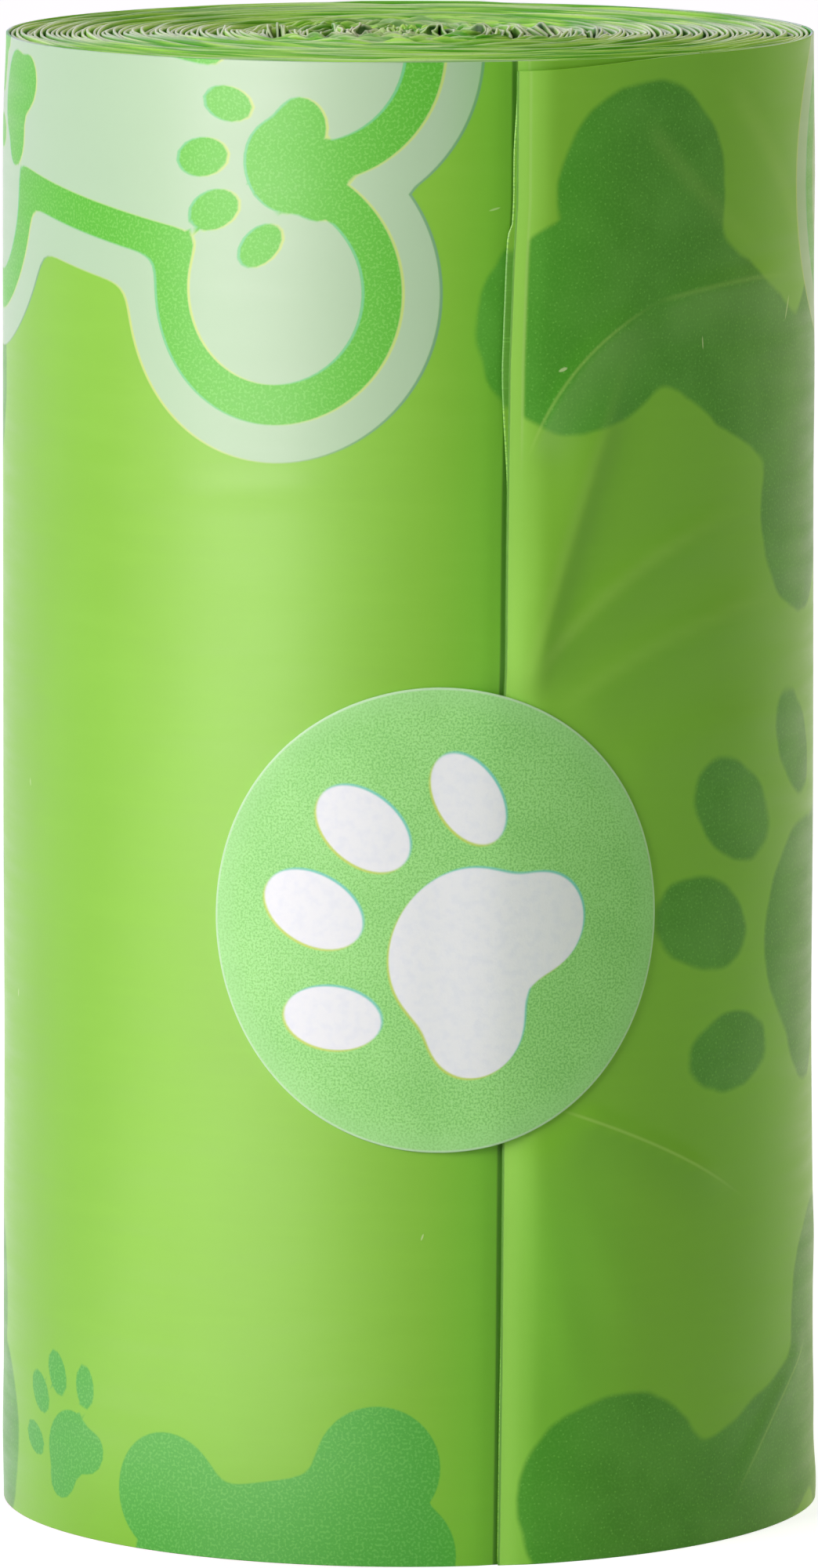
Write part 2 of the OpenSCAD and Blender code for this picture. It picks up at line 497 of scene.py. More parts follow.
EDGE_RINGS = (0.6 * MM, 0.12 * MM)  # how far under the film's edge its cross section has two more rings
EDGE_THIN = 0.7                     # share of the film's thickness at its cut edge


def wound_turns_mesh(roll):
    """Every turn inside the outer wrap as one ribbon. Its cross section has two more rings near the top, so
    that the edge leans and rises by itself, and it is carried along the wound path. The edge wanders up
    and down, most in the crumpled eye, and follows the pits of the eye."""
    rng = np.random.default_rng(roll.seed + 1)
    web, bearing, radius = wound_path(roll)
    turns = web / TURN
    depth = np.clip(1 - radius / roll.crushed_radius, 0, 1)
    settle = smooth((turns - turns[0, 0]) / 3)
    crumpled = smooth(depth / 0.6)
    wander = 0.024 * ripples(rng, bearing, turns, 4, 0.10) + 0.055 * ripples(rng, bearing, turns, 8, 0.45)
    wander = wander + crumpled * 0.09 * ripples(rng, bearing, turns, 18, 0.5)
    sunk, risen = eye_pits(bearing, radius)
    eye = np.clip(1 - radius / (2.4 * MM), 0, 1)
    wander = np.minimum(wander * (0.35 + 0.65 * settle), 0.10 + 0.20 * crumpled)
    wander = (wander * (1 - risen) - eye * 0.1 - sunk * 0.3 + risen * 0.42).clip(-0.6, 0.40)
    top = roll.film_width + wander * MM - 0.02 * MM
    foot = 0.05 * MM * (1 + ripples(rng, bearing, turns, 6, 0.3)).clip(0, 2)
    lean = (0.04 + 0.08 * depth) * ripples(rng, bearing, turns, 13, 0.5) * settle * MM
    ink_print = print_on_edge(roll, web, radius)
    streak = ripples(rng, bearing, turns, 6, 0.5) * 0.6 + ripples(rng, bearing, turns, 17, 0.5) * 0.4
    streak = streak + 0.3 * np.sin(2 * bearing)

    web, bearing, radius, top, foot, lean = (v.ravel() for v in (web, bearing, radius, top, foot, lean))
    line = at(radius, bearing, 0)
    travel = np.gradient(line, axis=0)
    normal = np.stack([travel[:, 1], -travel[:, 0], np.zeros(len(travel))], axis=-1)
    normal /= np.linalg.norm(normal, axis=1)[:, None]
    heights = [foot, top - EDGE_RINGS[0], top - EDGE_RINGS[1], top]
    leans = [0 * lean, 0 * lean, 0.75 * lean, lean]
    widen = [roll.bottom_radius / roll.top_radius - 1, 0, 0, 0]
    rings = []
    for side, order in ((0.5, (0, 1, 2, 3)), (-0.5, (3, 2, 1, 0))):
        for k in order:
            thin = EDGE_THIN if k == 3 else 1
            ring = line * (1 + widen[k]) + normal * (side * thin * roll.film + leans[k])[:, None]
            ring[:, 2] = heights[k]
            rings.append(ring)
    points = np.stack(rings, axis=1)
    count, corners = points.shape[:2]
    faces = quads(count, corners, close_columns=True)[:, ::-1].tolist()
    faces.append(list(range(corners)))
    faces.append(list(range((count - 1) * corners, count * corners))[::-1])
    edge = np.tile([0, 0, 0, 1, 1, 0, 0, 0], count).astype(float)
    sunk, risen = sunk.ravel(), risen.ravel()
    # Share of painted gap shade at each ring, foot to top: full low down, a little less under the edge, light
    # near the edge except in the pits and on the risen faces, and on the top only where the film has sunk.
    shaded = [np.ones(count), np.full(count, 0.85), 0.14 + 0.86 * np.maximum(sunk, risen), 0.75 * sunk]
    deep = np.stack(shaded + shaded[::-1], axis=1).ravel()
    numbers = {
        "edge": edge,
        "deep": deep,
        "inward": np.repeat(depth.ravel(), corners),
        "edge_print": np.repeat(ink_print.ravel(), corners),
        "streak": np.repeat(streak.ravel(), corners),
    }
    return points.reshape(-1, 3), faces, numbers


EDGE_PRINT_EVERY = 88 * MM          # distance along the web at which pale print meets its edge
EDGE_PRINT_SHARE = 0.34             # share of that distance which it takes up
EDGE_PRINT_SOFT = 0.06              # share over which it comes and goes


def print_on_edge(roll, web, radius):
    """How pale the film's edge is. The print comes back at an even distance along the web, which is the
    sum of radius times web angle. The edges are also whiter at both sides of the roll, which is painted
    light that stands for light passing through them there."""
    along = np.cumsum(radius.ravel()) * (TURN / STEPS)
    place = (along / EDGE_PRINT_EVERY).reshape(web.shape) % 1
    printed = smooth(place / EDGE_PRINT_SOFT) * smooth((EDGE_PRINT_SHARE - place) / EDGE_PRINT_SOFT)
    # Painted light: whiter edges at both sides of the roll.
    painted_side_light = smooth(np.abs(np.sin(roll.tail_bearing + web)) * 6 - 5.1)
    return np.maximum(0.5 * printed, painted_side_light)


SEAL_NARROWS = 0.979                # the seal is a little narrower than it is tall
SEAL_RINGS, SEAL_SPOKES = 40, 220
SEAL_ROUNDING = 0.05 * MM           # how far in from its rim the paper's cut edge rounds over
SEAL_SEAT = 0.012 * MM              # gap between the paper and the film
SEAL_BRIDGE = math.radians(11)      # how far round the paper takes to rise onto the loose end
BRIDGE_BEFORE = 0.95                # share of that way which lies before the loose end
SEAL_PAW_MIDDLE, SEAL_PAW_TURN, SEAL_PAW_SIZE = (-0.2, -0.4), 58, 7.4


def seal_mesh(roll, seal):
    """The paper seal: rings round its middle, out over the top, down its cut rim and back underneath. It
    follows the film on both sides of the loose end, and bridges the step there in one soft rise."""
    half = seal.diameter / 2
    rounding = half - SEAL_ROUNDING
    inner_rings = np.linspace(0.04, 1, SEAL_RINGS)[:-1] * rounding
    reach = np.concatenate([[0], inner_rings, [rounding, half - 0.3 * SEAL_ROUNDING, half, half]])
    lift = np.concatenate([np.full(len(reach) - 3, 1.0), [0.93, 0.6, 0.0]]) * seal.thickness
    reach = np.concatenate([reach, inner_rings[::-1], [0]])
    lift = np.concatenate([lift, np.zeros(len(inner_rings) + 1)])
    angle = np.linspace(0, TURN, SEAL_SPOKES, endpoint=False)[None, :]
    across = reach[:, None] * np.cos(angle) * SEAL_NARROWS
    up = reach[:, None] * np.sin(angle)
    bearing = seal.bearing + across / roll.top_radius
    z = seal.height + up
    seam = roll.tail_bearing + tail_shift(roll, 0, z)
    on_film = smooth((bearing - seam) / SEAL_BRIDGE + BRIDGE_BEFORE)
    beside = web_radius(roll, bearing - seam + TURN, z)
    over = web_radius(roll, np.maximum(bearing - seam, 0), z)
    rim = smooth((reach[:, None] / half - 0.86) / 0.14)
    curl = rim * (0.012 + 0.022 * (1 + np.cos(angle - 2.6)) * 0.5) * MM
    radius = beside + (over - beside) * on_film + SEAL_SEAT + curl + lift[:, None]
    points = at(radius, bearing, z)
    poles = points[[0, -1], 0]
    points = points[1:-1]
    rows, columns = points.shape[:2]
    faces = quads(rows, columns, close_columns=True).tolist()
    j = np.arange(columns)
    after = (j + 1) % columns
    top_pole, bottom_pole = rows * columns, rows * columns + 1
    last = (rows - 1) * columns
    faces += np.stack([np.full(columns, top_pole), j, after], axis=-1).tolist()
    faces += np.stack([np.full(columns, bottom_pole), last + after, last + j], axis=-1).tolist()
    flat = np.concatenate([points.reshape(-1, 3), poles])
    uv = np.stack([across[1:-1].ravel() / SEAL_NARROWS, up[1:-1].ravel()], axis=-1) / half
    uv = np.concatenate([uv, [[0, 0], [0, 0]]])
    x, y = (uv * half / MM).T
    numbers = {}
    for plate, shift in (("white", 0), ("yellow", 0.7 * MISREGISTER), ("blue", -0.7 * MISREGISTER)):
        spot = placed(x + shift, y + shift, SEAL_PAW_MIDDLE, SEAL_PAW_TURN)
        numbers["from_" + plate] = paw(*spot, SEAL_PAW_SIZE)
    return flat, faces, uv, numbers


# The print, in millimetres along the web from the loose end and up from the foot of the roll. It comes
# back twice a turn. Each bone and paw has its middle and its turn in degrees.
REPEAT = math.pi * TOP_RADIUS / MM
PALE_BONES = (((REPEAT - 18.1, 57.4), -10),)
PALE_BONE_REACH = (9.6, 4.9)
PALE_BONE_SIZES = ((6.2, 6.8), (4.7, 5.3), (3.3, 3.7))  # half shaft and knob of its rim, band and core
BAND_PAWS = (((REPEAT - 9.8, 55.7), 104), ((REPEAT - 26.1, 58.2), 60))
BAND_PAW_SIZE = 4.1
DARK_BONES = (((11.6, 48.0), -30), ((13.8, 2.6), 22))
DARK_BONE_REACH = (8.2, 3.0)
DARK_BONE_SIZE = (3.2, 4.3)
DARK_PAWS = (((15.4, 25.0), 66),)
DARK_PAW_SIZE = 9.4
FOOT_BONES = (((REPEAT - 9.4, 1.4), 10),)
FOOT_BONE_REACH = (4.6, 1.8)
FOOT_BONE_SIZE = (1.9, 2.5)
FOOT_PAWS = (((REPEAT - 20.4, 4.2), 34),)
FOOT_PAW_SIZE = 3.4
MISREGISTER = 0.11                  # how far one plate's ink lies off another's

# Fine creases and soft folds in the outer wrap, on the same axes: start, end, bow to the left, width of
# the painted highlight line along it, its strength, and the strength of the painted shade on its right,
# which is a painted pale sheen where it is negative.
CREASES = (
    ((0.9, 44.6), (6.65, 50.3), 0.95, 0.12, 0.36, -0.30),
    ((6.65, 50.3), (15.6, 50.7), 0.30, 0.18, 0.20, -0.20),
    ((6.0, 57.2), (13.6, 51.6), -0.50, 0.70, 0.14, 0.0),
    ((10.6, 58.6), (18.0, 50.4), 0.40, 0.90, 0.18, 0.0),
    ((2.5, 18.2), (11.6, 13.8), 0.25, 0.11, 0.55, 0.14),
    ((17.6, 6.9), (10.8, 1.2), -0.62, 0.14, 0.26, 0.0),
    ((0.9, 35.6), (5.4, 49.0), 0.25, 0.45, 0.14, 0.15),
    ((1.4, 36.0), (11.6, 41.6), 1.20, 0.50, 0.20, 0.10),
    ((2.6, 34.6), (14.6, 37.8), 1.00, 0.55, 0.14, 0.08),
)
CRISP = 0.3                         # a line narrower than this is drawn by the paint and not by the mesh
PRINT_EDGE = 0.09                   # how softly a printed field ends
# Bits of dust and nicks: place on the web, half length, half width and turn.
FLECKS = (
    ((2 * REPEAT - 0.5, 54.2), 0.20, 0.035, 15), ((2 * REPEAT - 23.3, 30.2), 0.14, 0.03, 100),
    ((2 * REPEAT - 24.9, 21.4), 0.14, 0.04, 80), ((2 * REPEAT - 3.4, 13.3), 0.12, 0.03, 70),
    ((8.95, 48.5), 0.22, 0.03, 95), ((15.3, 49.4), 0.45, 0.05, 65), ((2.2, 47.8), 0.16, 0.06, 20),
)


def placed(x, y, middle, degrees=0.0, every=0.0):
    """The same places on axes centred at middle and turned by degrees. Where a print comes back at an even
    distance, each place is measured from the nearest copy."""
    x, y = x - middle[0], y - middle[1]
    if every:
        x = (x + every / 2) % every - every / 2
    turn = math.radians(degrees)
    return x * math.cos(turn) + y * math.sin(turn), y * math.cos(turn) - x * math.sin(turn)


def melt(first, second, width):
    """The lesser of two distances, rounded over by a cubic where they come within a width of each other."""
    near = np.maximum(width - np.abs(first - second), 0) / width
    return np.minimum(first, second) - near ** 3 * width / 6


def oval(x, y, middle, across, up, degrees=0.0):
    """Roughly how far places lie outside an oval: their distance as a share of its radii, less one, times
    its lesser radius."""
    x, y = placed(x, y, middle, degrees)
    return (np.hypot(x / across, y / up) - 1) * min(across, up)


def bone(x, y, reach, shaft, knob):
    """How far places lie outside a bone: a shaft with two round knobs at each end, melted together. The
    reach is half the shaft's length, and how far the knobs are spread."""
    x, y = np.abs(x), np.abs(y)
    to_knob = np.hypot(x - reach[0], y - reach[1]) - knob
    return melt(to_knob, np.maximum(x - reach[0], y - shaft), 1.6)


def paw(x, y, size):
    """How far places lie outside a paw print: a pad melted with its two heels, and four toes."""
    x, y = x / size, y / size
    side = np.abs(x)
    pad = melt(oval(x, y, (0, -0.20), 0.46, 0.40), oval(side, y, (0.34, -0.48), 0.27, 0.24, 12), 0.22)
    near_toe = oval(side, y, (0.26, 0.62), 0.19, 0.29, -6)
    far_toe = oval(side, y, (0.70, 0.22), 0.17, 0.27, -26)
    return np.minimum(pad, np.minimum(near_toe, far_toe)) * size


def step(values, low, high):
    """Runs from 0 at low to 1 at high without a corner."""
    return smooth((values - low) / (high - low))


def print_numbers(roll, web, z):
    """How far each point of the film lies outside each field of print, in millimetres, for both plates of
    the pale print, and how strong the folds' painted soft shade, painted pale sheen and painted highlight are
    there."""
    x, y = np.broadcast_arrays(web * roll.top_radius / MM, z / MM)

    def field(shift, shape, places, *sizes):
        return np.minimum.reduce([
            shape(*placed(x - shift, y, middle, degrees, REPEAT), *sizes) for middle, degrees in places])

    numbers = {
        "dark": np.minimum(field(0, bone, DARK_BONES, DARK_BONE_REACH, *DARK_BONE_SIZE),
                           field(0, paw, DARK_PAWS, DARK_PAW_SIZE)),
        "foot": np.minimum(field(0, bone, FOOT_BONES, FOOT_BONE_REACH, *FOOT_BONE_SIZE),
                           field(0, paw, FOOT_PAWS, FOOT_PAW_SIZE)),
        "shade": 0 * x, "haze": 0 * x, "shine": 0 * x,
    }
    for plate, shift in (("", 0), ("_off", MISREGISTER)):
        rim, outer, inner = (
            field(shift, bone, PALE_BONES, PALE_BONE_REACH, *size) for size in PALE_BONE_SIZES)
        numbers["rim" + plate] = rim
        numbers["band" + plate] = np.minimum(
            np.maximum(outer, -inner), field(shift, paw, BAND_PAWS, BAND_PAW_SIZE))
    # The folds' painted shade, painted pale sheen and painted highlight.
    for start, end, bow, width, strength, shading in CREASES:
        run, rise = end[0] - start[0], end[1] - start[1]
        t, off = placed(x, y, start, math.degrees(math.atan2(rise, run)))
        t = t / math.hypot(run, rise)
        off = off - 4 * bow * t * (1 - t)
        swell = step(t, -0.06, 0.12) * step(t, 1.05, 0.6)
        numbers["shade" if shading > 0 else "haze"] += (
            step(off, 0.02, -0.30) * step(off, -2.6, -0.2) * swell * abs(shading))
        if width > CRISP:
            numbers["shine"] += step(np.abs(off), width, 0) * swell * strength
    return numbers


# Paint


class Term:
    """A value on a shader socket. Arithmetic on it adds Math nodes to its paint."""

    def __init__(self, paint, socket):
        self.paint = paint
        self.socket = socket

    def math(self, operation, *values):
        names = range(len(values) + 1)
        node = self.paint.node("ShaderNodeMath", {"operation": operation}, dict(zip(names, (self, *values))))
        return Term(self.paint, node.outputs[0])

    def __add__(self, other):
        return self.math("ADD", other)

    def __sub__(self, other):
        return self.math("SUBTRACT", other)

    def __mul__(self, other):
        return self.math("MULTIPLY", other)

    def __rsub__(self, other):
        return self.math("MULTIPLY", -1.0) + other

    def __abs__(self):
        return self.math("ABSOLUTE")

    __radd__ = __add__
    __rmul__ = __mul__

    def least(self, other):
        return self.math("MINIMUM", other)

    def most(self, other):
        return self.math("MAXIMUM", other)

    def ramp(self, low, high):
        """0 at low to 1 at high without a corner, and flat outside."""
        node = self.paint.node(
            "ShaderNodeMapRange", {"interpolation_type": "SMOOTHSTEP"},
            {"Value": self, "From Min": low, "From Max": high})
        return Term(self.paint, node.outputs[0])

    def inside(self, soft):
        """1 where a distance is below zero, with an edge of the given softness."""
        return self.ramp(soft / 2, -soft / 2)


class Paint:
    """A material or world under construction: its node maker and the patterns that the finishes share."""

    def __init__(self, name, holder=None):
        self.material = holder or bpy.data.materials.new(name)
        self.material.use_nodes = True
        self.tree = self.material.node_tree
        self.tree.nodes.clear()

    def node(self, kind, settings=None, sockets=None):
        """Adds a node: its settings first, then a value, a Term or a socket for each named input."""
        node = self.tree.nodes.new(kind)
        for key, value in (settings or {}).items():
            setattr(node, key, value)
        for key, value in (sockets or {}).items():
            if isinstance(value, Term):
                value = value.socket
            if isinstance(value, bpy.types.NodeSocket):
                self.tree.links.new(value, node.inputs[key])
            elif isinstance(value, tuple) and node.inputs[key].type == "RGBA":
                node.inputs[key].default_value = (*value[:3], 1)
            else:
                node.inputs[key].default_value = value
        return node

    def value(self, name):
        """A number that the mesh carries at its points."""
        node = self.node("ShaderNodeAttribute", {"attribute_name": name})
        return Term(self, node.outputs["Fac"])

    def place(self, scale):
        """The two values of the piece's own map, times a scale."""
        x, y = self.split(self.node("ShaderNodeUVMap", {"uv_map": "film"}).outputs[0])
        return x * scale, y * scale

    def split(self, vector):
        parts = self.node("ShaderNodeSeparateXYZ", None, {0: vector}).outputs
        return Term(self, parts[0]), Term(self, parts[1])

    def join(self, x, y, z=0.0):
        return self.node("ShaderNodeCombineXYZ", None, {0: x, 1: y, 2: z}).outputs[0]

    def centred(self, where, middle, degrees=0.0, unit=(1.0, 1.0)):
        """The same place on axes that are centred at middle, turned by degrees and measured in units."""
        return self.node("ShaderNodeMapping", {"vector_type": "TEXTURE"}, {
            "Vector": where, "Location": (*middle, 0.0), "Rotation": (0.0, 0.0, math.radians(degrees)),
            "Scale": (*unit, 1.0)}).outputs[0]

    def distance(self, where, to=(0.0, 0.0)):
        node = self.node("ShaderNodeVectorMath", {"operation": "DISTANCE"}, {0: where, 1: (*to, 0.0)})
        return Term(self, node.outputs["Value"])

    def noise(self, where, scale, detail=3.0, rough=0.5, flat=True):
        """Cloudy noise from 0 to 1 round 0.5, on a flat map or in space."""
        node = self.node("ShaderNodeTexNoise", {"noise_dimensions": "2D" if flat else "3D"},
                         {"Vector": where, "Scale": scale, "Detail": detail, "Roughness": rough})
        return Term(self, node.outputs[0])

    def specks(self, where, scale, size):
        """Round specks, 1 in their middle: near points of a scattered grid."""
        node = self.node("ShaderNodeTexVoronoi", {"voronoi_dimensions": "2D"},
                         {"Vector": where, "Scale": scale, "Randomness": 1.0})
        return Term(self, node.outputs["Distance"]).ramp(size, size * 0.4)

    def mix(self, share, first, second):
        """The second colour over the first by a share."""
        return self.node("ShaderNodeMix", {"data_type": "RGBA"}, {0: share, 6: first, 7: second}).outputs[2]

    def bump(self, height, distance, strength):
        return self.node("ShaderNodeBump", None,
                         {"Height": height, "Distance": distance, "Strength": strength}).outputs[0]

    def finish(self, **sockets):
        """The surface shader, its socket names written with underscores, and the output."""
        named = {key.replace("_", " "): value for key, value in sockets.items()}
        shader = self.node("ShaderNodeBsdfPrincipled", None, named)
        self.node("ShaderNodeOutputMaterial", None, {"Surface": shader.outputs[0]})
        return self.material


def nearest(distances):
    first, *others = distances
    for other in others:
        first = first.least(other)
    return first


def beside(paint, where, start, end, bow):
    """Place along a bowed line, 0 to 1, and distance off it to the left."""
    run, rise = end[0] - start[0], end[1] - start[1]
    x, y = paint.split(paint.centred(where, start, math.degrees(math.atan2(rise, run))))
    t = x * (1 / math.hypot(run, rise))
    return t, y - t * (1 - t) * (4 * bow)


def film_paint(roll):
    """Printed film. The green web has cloudy, stretched tones. Pale bones hold a mid green band and paws,
    dark print shows through from the ply below, and the plates are a little out of register."""
    paint = Paint("printed_film")
    along, up = paint.place(roll.film_width / MM)
    here = paint.join(along, up)
    from_tail = paint.value("from_tail")
    cloud = paint.noise(paint.join(along, up * 0.5), 0.11, 2.0)
    lines = paint.noise(paint.join(along * 0.12, up), 1.3, 3.0)
    grain = paint.noise(here, 9.0, 2.0)
    stipple = paint.noise(here, 8.5, 1.0).ramp(0.50, 0.66)
    drift = paint.noise(here, 0.35, 2.0)
    speck = paint.specks(here, 2.8, 0.14)

    def printed(base, field, tone, right, left):
        """A field of ink with a thin line of one plate on its right and of another on its left."""
        inked, moved = (paint.value(field + plate).inside(PRINT_EDGE) for plate in ("", "_off"))
        base = paint.mix(inked, base, tone)
        base = paint.mix(moved * (1 - inked) * 0.8, base, right)
        return paint.mix(inked * (1 - moved) * 0.8, base, left)

    base = paint.mix(cloud.ramp(0.3, 0.7) * 0.5, roll.film_green[:], ink(129, 190, 47))
    base = paint.mix(lines.ramp(0.45, 0.75) * 0.05, base, ink(158, 216, 90))

    on_tail = from_tail.ramp(-0.001, 0.001) * from_tail.ramp(300, 200)
    # Painted highlight low down on the loose end, fading away from its edge.
    low_painted_highlight = from_tail.ramp(7.0, 2.0) * up.ramp(20.0, 12.0) * 0.35
    base = paint.mix(low_painted_highlight * on_tail, base, ink(132, 224, 66))
    # Paler one-ply film at the loose end, with a painted highlight over it where its edge curls in.
    one_ply_and_highlight = from_tail.ramp(1.9, 0.5) * 0.50 + from_tail.ramp(0.9, 0.2) * 0.28
    base = paint.mix(one_ply_and_highlight * on_tail, base, ink(174, 240, 98))
    under = (paint.value("dark") + (drift - 0.5) * 0.5).inside(0.30)
    under = under * (1 - from_tail.ramp(0.75, 0.45) * on_tail)
    shade = paint.mix(drift.ramp(0.3, 0.75) * 0.6, ink(70, 148, 38), ink(94, 168, 60))
    shade = paint.mix(from_tail.ramp(6.0, 1.0) * on_tail * 0.5, shade, ink(72, 172, 38))
    shade = paint.mix(stipple * 0.14 + speck * 0.4, shade, ink(126, 206, 84))
    base = paint.mix(under * 0.92, base, shade)

    pale_tone = paint.mix(cloud.ramp(0.3, 0.75) * 0.5, roll.pale_ink[:], ink(178, 212, 168))
    base = printed(base, "rim", pale_tone, ink(112, 160, 140), ink(206, 224, 92))
    green_tone = paint.mix(stipple * 0.30, roll.mid_ink[:], ink(150, 222, 110))
    base = printed(base, "band", green_tone, ink(206, 226, 104), ink(120, 206, 150))
    dark_tone = paint.mix(stipple * 0.4, roll.dark_ink[:], ink(124, 206, 96))
    base = paint.mix(paint.value("foot").inside(PRINT_EDGE), base, dark_tone)

    # Painted shade on the right of the folds.
    base = paint.mix(paint.value("shade"), base, ink(62, 138, 28))
    # Painted pale sheen beside some creases.
    base = paint.mix(paint.value("haze"), base, ink(150, 196, 112))
    # Painted highlight along the creases and folds.
    light = paint.value("shine")
    for start, end, bow, width, strength, _ in CREASES:
        if width < CRISP:
            t, off = beside(paint, here, start, end, bow)
            light = light + abs(off).ramp(width, 0.0) * t.ramp(-0.06, 0.12) * t.ramp(1.05, 0.6) * strength
    base = paint.mix(light, base, ink(186, 226, 112))

    flecks = [paint.distance(paint.centred(here, middle, degrees, (long, wide)))
              for middle, long, wide, degrees in FLECKS]
    base = paint.mix(nearest(flecks).ramp(1.4, 0.8) * 0.7, base, ink(214, 234, 170))

    # Painted highlight along a fold a little way in from the loose end's edge, in its upper part.
    fold_highlight = from_tail.ramp(0.46, 0.54) * from_tail.ramp(0.66, 0.56) * up.ramp(43.0, 46.0)
    base = paint.mix(fold_highlight * 0.35, base, ink(190, 232, 130))
    # Painted shadow along the loose end's own edge.
    base = paint.mix(from_tail.ramp(0.10, 0.04) * on_tail * 0.8, base, ink(56, 120, 16))
    beside_tail = (1 - on_tail) * from_tail.ramp(100, 50)
    # Painted shade on the turn below, softly darker towards the loose end.
    base = paint.mix(from_tail.ramp(-3.6, -0.1) * beside_tail * 0.30, base, ink(87, 196, 34))
    # Painted shadow: a thin dark line in the gap just before the loose end.
    base = paint.mix(from_tail.ramp(-0.22, -0.12) * beside_tail * 0.8, base, ink(44, 106, 6))
    inner_ply = from_tail.ramp(900, 950)
    base = paint.mix(inner_ply * 0.25, base, ink(132, 196, 66))
    # Painted shadow, ragged, along the inner ply's edge.
    ply_edge_shadow = inner_ply * from_tail.ramp(INNER_PLY_MARK + 0.10, INNER_PLY_MARK + 0.04)
    base = paint.mix(ply_edge_shadow * grain.ramp(0.42, 0.62) * 0.8, base, ink(84, 150, 40))

    relief = lines * 0.28 + grain * 0.12 + cloud * 0.6 + drift * 0.35
    normal = paint.bump(relief, 0.02 * MM, 0.6)
    rough = lines.ramp(0.2, 0.8) * 0.08 + 0.27 + grain * 0.06 + from_tail.ramp(0.4, 0.1) * on_tail * 0.4
    return paint.finish(Base_Color=base, Roughness=rough, Normal=normal, IOR=1.5, Specular_IOR_Level=0.32)


def edge_paint():
    """Film edges at the end of the roll: pale where the cut edge catches the light, green on the faces, and
    painted shade, darker and deeper in colour, down in the gaps."""
    paint = Paint("film_edges")
    edge = paint.value("edge")
    streak = paint.value("streak")
    inward = paint.value("inward")
    pale = paint.value("edge_print")
    coordinates = paint.node("ShaderNodeTexCoord").outputs["Object"]
    fine = paint.noise(coordinates, 2600.0, 2.0, flat=False)
    broad = paint.noise(coordinates, 260.0, 2.0, flat=False)
    gap_shade_green = ink(12, 66, 10)
    face = paint.mix(streak.ramp(-0.8, 0.9), ink(76, 160, 22), ink(166, 226, 78))
    face = paint.mix(pale * 0.25, face, ink(186, 226, 130))
    face = paint.mix(inward * broad.ramp(0.5, 0.62) * 0.5, face, ink(214, 222, 176))
    # Painted shade down in the gaps.
    face = paint.mix(paint.value("deep"), face, gap_shade_green)
    cut = paint.mix(streak.ramp(-1.0, 1.0), ink(96, 178, 34), ink(186, 230, 108))
    cut = paint.mix(pale * 0.85, cut, ink(228, 242, 198))
    cut = paint.mix(inward * broad.ramp(0.5, 0.62) * 0.7, cut, ink(230, 226, 196))
    # Painted shade down in the gaps.
    cut = paint.mix(paint.value("deep"), cut, gap_shade_green)
    colour = paint.mix(edge.ramp(0.25, 1.0), face, cut)
    colour = paint.mix(fine.ramp(0.5, 0.8) * 0.2, colour, ink(96, 160, 50))
    normal = paint.bump(fine, 0.01 * MM, 0.5)
    return paint.finish(Base_Color=colour, Roughness=fine * 0.2 + 0.36, Normal=normal, IOR=1.5,
                        Specular_IOR_Level=0.2)


def seal_paint(seal):
    """Coated paper: a speckled green ground, a pale rim, and a white paw print lying on its side, with a
    thin yellow line on one side of it and a blue one on the other, where the plates miss each other."""
    paint = Paint("printed_seal")
    radius = seal.diameter / 2 / MM
    across, up = paint.place(radius)
    here = paint.join(across, up)
    away = paint.distance(here) - radius
    grain = paint.noise(here, 11.0, 2.0, 0.7)
    cloud = paint.noise(here, 0.35, 2.0)
    ground = paint.mix(cloud.ramp(0.3, 0.7), seal.green[:], ink(167, 236, 139))
    ground = paint.mix(grain.ramp(0.52, 0.40) * 0.55, ground, ink(108, 196, 82))
    ground = paint.mix(grain.ramp(0.52, 0.66) * 0.5, ground, ink(182, 238, 152))
    ground = paint.mix(away.ramp(-1.3, -0.1) * 0.45, ground, ink(170, 232, 148))
    ground = paint.mix(away.ramp(-0.13, -0.05) * 0.8, ground, ink(206, 238, 196))

    mottle = paint.noise(here, 2.2, 2.0)
    white = paint.mix(mottle.ramp(0.35, 0.75) * 0.5, seal.white[:], ink(238, 244, 248))
    colour = paint.mix(paint.value("from_yellow").inside(0.10) * 0.8, ground, ink(214, 226, 96))
    colour = paint.mix(paint.value("from_blue").inside(0.10) * 0.8, colour, ink(118, 214, 206))
    colour = paint.mix(paint.value("from_white").inside(PRINT_EDGE), colour, white)
    normal = paint.bump(grain * 0.5 + mottle, 0.012 * MM, 0.6)
    return paint.finish(Base_Color=colour, Roughness=grain * 0.1 + 0.46, Normal=normal, IOR=1.5,
                        Specular_IOR_Level=0.32)


# The stage. Tints are red, green and blue factors.

FLOOR_SHEEN = 5.2                   # strength of the floor's glow towards the key lamp, in reflections
FLOOR_HALF = 3.0
FLOOR_DROP = 0.01 * MM              # how far the floor lies below the roll's foot
TOWARDS_KEY = (-0.70, -0.71, 0.0)
SHEEN_TINT = (1.0, 0.84, 0.90)
FLOOR_RIGHT_TINT = (1.0, 0.97, 0.62)
ROOM_LEFT_TINT = (0.93, 0.76, 1.34)
ROOM_RIGHT_TINT = (1.0, 0.96, 0.28)
WHITE = (1.0, 1.0, 1.0)
# Each lamp's width, height, place and tint.
LAMPS = {
    "key": (0.34, 0.40, (-0.37, -0.33, 0.26), (1.0, 0.97, 1.0)),
    "fill": (0.30, 0.40, (0.53, -0.14, 0.14), (0.66, 1.0, 0.66)),
    "sheen": (0.34, 0.34, (-0.36, -0.36, 0.18), (0.96, 0.80, 0.92)),
}


